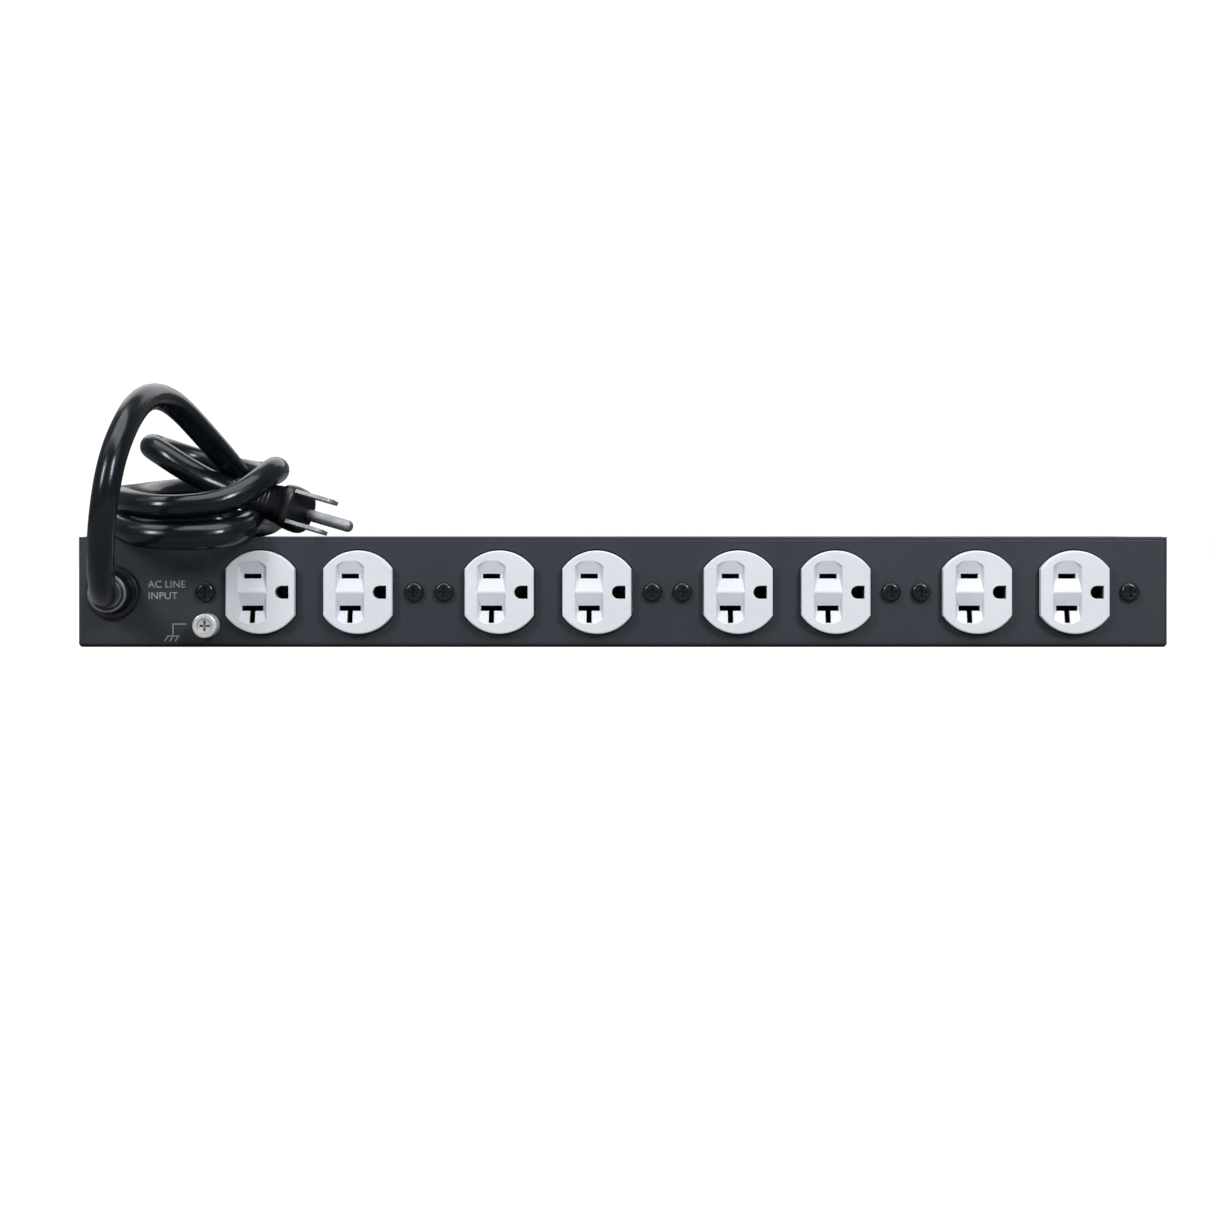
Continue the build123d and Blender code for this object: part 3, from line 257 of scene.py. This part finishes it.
SLOTS = {
    "powder_coat": POWDER, "black_screw": SCREW, "panel_coat": PANEL, "zinc_steel": ZINC, "nickel": NICKEL,
    "brass": BRASS, "white_nylon": NYLON, "grey_base": GREY_BASE, "cord_jacket": JACKET,
    "plug_moulding": MOULDING, "gland_nylon": GLAND, "switch_black": SWITCH, "rocker_red": red_rocker(),
    "lamp_glass": lamp_glass(), "contact_copper": COPPER, "breaker_black": BREAKER, "button_white": BUTTON,
    "wire_black": WIRE_BLACK, "wire_white": WIRE_WHITE, "wire_green": WIRE_GREEN,
}
for part in frame["record"]["subparts"]:
    node = NODES[part["node"]]
    for place in node.material_slots:
        place.material = SLOTS[part["material_slot"]]
for prong in ("plug_blades", "plug_ground_pin"):
    for place in NODES[prong].material_slots:
        place.material = PRONG


# ---- shared shapes ----
def add(name, data, material, body="chassis"):
    piece = bpy.data.objects.new(name, data)
    bpy.context.scene.collection.objects.link(piece)
    data.materials.append(material)
    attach(piece, body)
    return piece


RING_STEPS = 72                             # points round a lathed section


def rounded_ring(width, height, power, count):
    """Points of a superellipse: power 2 is an ellipse, higher is boxier."""
    points = []
    for step in range(count):
        angle = 2 * math.pi * step / count
        c, s = math.cos(angle), math.sin(angle)
        points.append((math.copysign(abs(c) ** (2 / power), c) * width / 2,
                       math.copysign(abs(s) ** (2 / power), s) * height / 2))
    return points


def lathe_sections(name, sections, place):
    """Closed mesh through rounded sections (z, width, height, power) in mm, set down by a matrix."""
    count = RING_STEPS
    points = []
    faces = []
    for z, width, height, power in sections:
        ring = rounded_ring(width, height, power, count)
        points += [place @ Vector((x * MM, y * MM, z * MM)) for x, y in ring]
    for row in range(len(sections) - 1):
        for step in range(count):
            after = (step + 1) % count
            faces.append((row * count + step, row * count + after,
                          (row + 1) * count + after, (row + 1) * count + step))
    faces.append(tuple(reversed(range(count))))
    faces.append(tuple(range((len(sections) - 1) * count, len(sections) * count)))
    mesh = bpy.data.meshes.new(name)
    mesh.from_pydata(points, [], faces)
    mesh.validate()
    mesh.update()
    for face in mesh.polygons:
        face.use_smooth = len(face.vertices) == 4
    return mesh


# ---- power cord ----
# Points listed in metres: out of the boot into the arch, two turns on the cover, a loop, the plug.
LEAD = [
    (GLAND_X, -0.0660, GLAND_Z),
    (-0.2025, -0.0790, 0.0212),
    (-0.1990, -0.0950, 0.0232),
    (-0.1970, -0.1090, 0.0360),
    (-0.1946, -0.1150, 0.0540),
    (-0.1922, -0.1120, 0.0725),
    (-0.1893, -0.1000, 0.0875),
    (-0.1870, -0.0815, 0.0975),
    (-0.1840, -0.0620, 0.1003),
    (-0.1795, -0.0455, 0.0970),
    (-0.1710, -0.0310, 0.0855),
    (-0.1630, -0.0180, 0.0740),
    (-0.1570, -0.0040, 0.0625),
    (-0.1555, 0.0080, 0.0545),
]
LOW_RING = [
    (-0.1585, 0.0185, 0.0503),
    (-0.1670, 0.0265, 0.0503),
    (-0.1780, 0.0295, 0.0508),
    (-0.1890, 0.0265, 0.0505),
    (-0.1975, 0.0180, 0.0497),
    (-0.2022, 0.0050, 0.0492),
    (-0.2030, -0.0150, 0.0492),
    (-0.2030, -0.0350, 0.0494),
    (-0.2022, -0.0510, 0.0502),
    (-0.1975, -0.0645, 0.0473),
    (-0.1880, -0.0722, 0.0447),
    (-0.1755, -0.0743, 0.0439),
    (-0.1635, -0.0733, 0.0442),
    (-0.1548, -0.0695, 0.0455),
    (-0.1502, -0.0605, 0.0480),
    (-0.1496, -0.0500, 0.0499),
    (-0.1510, -0.0380, 0.0495),
    (-0.1515, -0.0240, 0.0492),
    (-0.1500, -0.0100, 0.0493),
    (-0.1478, 0.0030, 0.0512),
]
HIGH_RING = [
    (-0.1475, 0.0155, 0.0550),
    (-0.1525, 0.0270, 0.0595),
    (-0.1635, 0.0325, 0.0620),
    (-0.1770, 0.0315, 0.0637),
    (-0.1900, 0.0230, 0.0640),
    (-0.1990, 0.0080, 0.0624),
    (-0.2024, -0.0110, 0.0610),
    (-0.2030, -0.0300, 0.0602),
    (-0.2018, -0.0470, 0.0596),
    (-0.1955, -0.0605, 0.0575),
    (-0.1845, -0.0678, 0.0557),
    (-0.1725, -0.0688, 0.0555),
    (-0.1615, -0.0665, 0.0568),
    (-0.1520, -0.0620, 0.0605),
    (-0.1448, -0.0540, 0.0664),
    (-0.1410, -0.0425, 0.0714),
    (-0.1417, -0.0290, 0.0716),
]
TOP_LOOP = [
    (-0.1450, -0.0150, 0.0706),
    (-0.1520, -0.0015, 0.0702),
    (-0.1615, 0.0080, 0.0718),
    (-0.1730, 0.0120, 0.0740),
    (-0.1840, 0.0115, 0.0772),
    (-0.1935, 0.0060, 0.0805),
    (-0.1980, -0.0030, 0.0822),
    (-0.1965, -0.0115, 0.0815),
    (-0.1905, -0.0160, 0.0780),
    (-0.1838, -0.0180, 0.0738),
    (-0.1765, -0.0192, 0.0695),
    (-0.1690, -0.0208, 0.0657),
    (-0.16005, -0.02415, 0.06235),
]
CORD_RADIUS = 0.0052

route = LEAD + LOW_RING + HIGH_RING + TOP_LOOP
line = bpy.data.curves.new("power_cord", "CURVE")
line.dimensions = "3D"
line.bevel_depth = CORD_RADIUS
line.bevel_resolution = 9
line.resolution_u = 8
line.use_fill_caps = True
spline = line.splines.new("NURBS")
spline.points.add(len(route) - 1)
for spot, where in zip(spline.points, route):
    spot.co = (*where, 1.0)
spline.order_u = 3
spline.use_endpoint_u = True
cord = add("power_cord", line, JACKET)
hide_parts("cord_lead", "cord_coil")


# ---- plug ----
PLUG_FACE = (-0.1302, REAR + 0.014, 0.0544)
PLUG_YAW = math.radians(-28)
PLUG_DIP = math.radians(13.5)
PLUG_ROLL = math.radians(75)
normal = Vector((math.cos(PLUG_DIP) * math.cos(PLUG_YAW), math.cos(PLUG_DIP) * math.sin(PLUG_YAW),
                 -math.sin(PLUG_DIP)))
level = Vector((-math.sin(PLUG_YAW), math.cos(PLUG_YAW), 0))
across = level * math.cos(PLUG_ROLL) + normal.cross(level) * math.sin(PLUG_ROLL)
up = normal.cross(across)
plug_place = Matrix.Translation(PLUG_FACE) @ Matrix((across, up, normal)).transposed().to_4x4()

# Sections from the plug's face backwards: the rounded head, four grip ribs, the neck and a five-ring boot.
plug_sections = [
    (0.0, 13.6, 16.6, 3.0), (-0.3, 15.2, 18.2, 3.0), (-1.0, 16.9, 20.0, 3.0), (-2.0, 17.9, 21.0, 3.0),
    (-3.2, 18.3, 21.4, 3.0), (-5.4, 18.1, 21.2, 3.0), (-6.6, 17.2, 20.2, 3.0), (-7.6, 15.6, 17.8, 2.9),
    (-9.0, 15.1, 17.0, 2.8),
]
for rib in range(4):
    z = -10.4 - rib * 2.2
    width = 15.4 - rib * 0.45
    height = 16.8 - rib * 0.75
    plug_sections += [(z, width, height, 2.8), (z - 0.8, width, height, 2.8),
                      (z - 1.1, width - 1.0, height - 1.0, 2.8), (z - 1.8, width - 1.0, height - 1.0, 2.8)]
plug_sections += [(-19.6, 14.0, 14.4, 2.5), (-21.0, 13.6, 13.7, 2.3)]
for ring in range(5):
    z = -22.2 - ring * 2.3
    width = 13.5 - ring * 0.3
    plug_sections += [(z, width, width, 2.1), (z - 1.1, width - 0.1, width - 0.1, 2.0),
                      (z - 1.35, width - 1.2, width - 1.2, 2.0), (z - 2.05, width - 1.2, width - 1.2, 2.0)]
plug_sections += [(-33.7, 12.0, 12.0, 2.0), (-34.0, 11.4, 11.4, 2.0)]
plug = add("plug_moulding_piece", lathe_sections("plug_moulding_piece", plug_sections[::-1], plug_place),
           MOULDING)
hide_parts("plug_body")


# ---- lip round the mouth of the cord boot, painted light grey as a highlight on its rim ----
LIP_BACK = -0.0642
LIP_PLACE = Matrix.Translation((GLAND_X, LIP_BACK, GLAND_Z)) @ Matrix.Rotation(math.radians(90), 4, "X")
# the lip's light grey and lighter edges are a painted highlight where the boot's rim catches the light
LIP_HIGHLIGHT = coated("gland_lip_highlight", rgb(0.13, 0.14, 0.155), rgb(0.20, 0.21, 0.23), (0.22, 0.34), 1800.0, 0.00003,
             edge=rgb(0.32, 0.33, 0.35), radius=0.0004, blotch=70.0)
LIP_PROFILE = [(0.0, 14.6), (0.25, 15.3), (0.7, 15.5), (1.15, 15.2), (1.4, 14.4), (1.5, 13.4)]
lip_sections = [(z, width, width, 2.0) for z, width in LIP_PROFILE]
add("gland_lip_piece", lathe_sections("gland_lip_piece", lip_sections, LIP_PLACE), LIP_HIGHLIGHT)


# ---- printing ----
INK_HEIGHT = 0.00004
WORD_SIZE = 0.0040
WORD_LEFT = -0.1898
MARK_STROKE = 0.5


def printed_words(name, words, size, left, low, reach):
    """Flat lettering on the rear wall, facing -Y: its left end at X, its foot at Z, fitted to a width."""
    curve = bpy.data.curves.new(name, "FONT")
    curve.body = words
    curve.size = size
    curve.offset = size * 0.012
    curve.extrude = INK_HEIGHT / 2
    curve.space_character = 1.02
    holder = bpy.data.objects.new(name + "_text", curve)
    bpy.context.scene.collection.objects.link(holder)
    mesh = bpy.data.meshes.new_from_object(holder.evaluated_get(bpy.context.evaluated_depsgraph_get()))
    bpy.data.objects.remove(holder)
    wide = max(v.co.x for v in mesh.vertices) - min(v.co.x for v in mesh.vertices)
    fit = Matrix.Diagonal((reach / wide, 1, 1, 1))
    turn = Matrix.Rotation(math.radians(90), 4, "X")
    mesh.transform(Matrix.Translation((left, REAR - INK_HEIGHT / 2, low)) @ turn @ fit)
    mesh.name = name
    return add(name, mesh, INK)


printed_words("print_upper_word", "AC LINE", WORD_SIZE, WORD_LEFT, 0.0238, 0.0150)
printed_words("print_lower_word", "INPUT", WORD_SIZE, WORD_LEFT, 0.0192, 0.0116)


def printed_strokes(name, strokes, width):
    """Flat printed lines between (X, Z) points in mm on the rear wall."""
    points = []
    faces = []
    for (x0, z0), (x1, z1) in strokes:
        along = Vector((x1 - x0, 0, z1 - z0)).normalized()
        side = Vector((-along.z, 0, along.x)) * width / 2
        start = Vector((x0, 0, z0))
        end = Vector((x1, 0, z1))
        base = len(points)
        for y in (REAR / MM, REAR / MM - INK_HEIGHT / MM):
            lift = Vector((0, y, 0))
            corners = (start + side, end + side, end - side, start - side)
            points += [(corner + lift) * MM for corner in corners]
        faces += [(base, base + 1, base + 2, base + 3), (base + 7, base + 6, base + 5, base + 4)]
        faces += [(base + k, base + 4 + k, base + 4 + (k + 1) % 4, base + (k + 1) % 4) for k in range(4)]
    mesh = bpy.data.meshes.new(name)
    mesh.from_pydata(points, [], faces)
    mesh.update()
    return add(name, mesh, INK)


printed_strokes("print_ground_mark", [
    ((-174.6, 9.2), (-180.05, 9.2)), ((-179.8, 9.0), (-179.8, 4.6)), ((-182.3, 4.4), (-177.3, 4.4)),
    ((-181.9, 4.2), (-183.2, 2.4)), ((-179.8, 4.2), (-181.1, 2.4)), ((-177.7, 4.2), (-179.0, 2.4)),
], MARK_STROKE)


# ---- floor, light and camera ----
FLOOR_HALF = 30.0
FLOOR_GAP = 0.0002
FLOOR_SEEN = 0.93                           # glow for the camera's rays only
WORLD_LIGHT = 0.20
WORLD_SEEN = 1.05                           # white for the camera's rays only


def floor():
    s = Shader("studio_floor", Roughness=0.9, Specular_IOR_Level=0.1)
    s.set("Emission Color", rgb(1, 1, 1))
    seen = s.node("ShaderNodeLightPath").outputs["Is Camera Ray"]
    s.set("Emission Strength", s.maths("MULTIPLY", seen, FLOOR_SEEN))
    cloud = s.mix(s.noise(2.0), rgb(0.34, 0.34, 0.34), rgb(0.38, 0.38, 0.38))
    s.set("Base Color", s.mix(seen, rgb(0.24, 0.24, 0.245), cloud))
    mesh = bpy.data.meshes.new("studio_floor")
    half = FLOOR_HALF
    corners = [(-half, -half, 0), (half, -half, 0), (half, half, 0), (-half, half, 0)]
    mesh.from_pydata(corners, [], [(0, 1, 2, 3)])
    mesh.materials.append(s.mat)
    piece = bpy.data.objects.new("studio_floor", mesh)
    bpy.context.scene.collection.objects.link(piece)
    piece.location.z = -FLOOR_GAP


def softbox(name, place, target, size, power):
    """Rectangular light in watts, turned to a point."""
    lamp = bpy.data.lights.new(name, "AREA")
    lamp.shape = "RECTANGLE"
    lamp.size, lamp.size_y = size
    lamp.energy = power
    holder = bpy.data.objects.new(name, lamp)
    holder.location = place
    holder.rotation_euler = (Vector(target) - Vector(place)).to_track_quat("-Z", "Y").to_euler()
    bpy.context.scene.collection.objects.link(holder)


floor()
softbox("soft_top", (-0.1, -0.25, 1.5), (0, -0.05, 0), (1.7, 0.9), 15.0)
softbox("soft_near", (-0.05, -0.26, 0.42), (0, -0.05, 0.02), (1.2, 0.14), 0.45)
softbox("soft_left", (-1.0, -1.15, 0.85), (-0.15, -0.05, 0.04), (0.30, 0.55), 12.0)
softbox("soft_right", (0.75, -1.3, 0.9), (0, -0.05, 0.03), (0.30, 0.55), 15.0)
softbox("soft_back", (-0.1, 1.6, 1.2), (-0.05, 0.05, 0.03), (2.4, 1.3), 13.0)

world = bpy.data.worlds.new("studio")
bpy.context.scene.world = world
world.use_nodes = True
nodes = world.node_tree.nodes
links = world.node_tree.links
back = nodes["Background"]
back.inputs["Color"].default_value = rgb(0.93, 0.96, 1.0)
back.inputs["Strength"].default_value = WORLD_LIGHT
white = nodes.new("ShaderNodeBackground")
white.inputs["Color"].default_value = rgb(1, 1, 1)
white.inputs["Strength"].default_value = WORLD_SEEN
choose = nodes.new("ShaderNodeMixShader")
links.new(nodes.new("ShaderNodeLightPath").outputs["Is Camera Ray"], choose.inputs[0])
links.new(back.outputs[0], choose.inputs[1])
links.new(white.outputs[0], choose.inputs[2])
links.new(choose.outputs[0], nodes["World Output"].inputs["Surface"])

CAMERA_AWAY = 0.95                          # from the rear wall
CAMERA_HEIGHT = 0.0468
eye = bpy.data.cameras.new("camera")
eye.sensor_width = 36.0
eye.lens = 70.49
eye.shift_x = -0.0131
eye.shift_y = -0.0634
eye.clip_start = 0.02
camera = bpy.data.objects.new("camera", eye)
camera.location = (0, REAR - CAMERA_AWAY, CAMERA_HEIGHT)
camera.rotation_euler = (math.radians(90), 0, 0)
bpy.context.scene.collection.objects.link(camera)
bpy.context.scene.camera = camera
bpy.context.scene.view_settings.view_transform = "Standard"
bpy.context.scene.view_settings.look = "None"
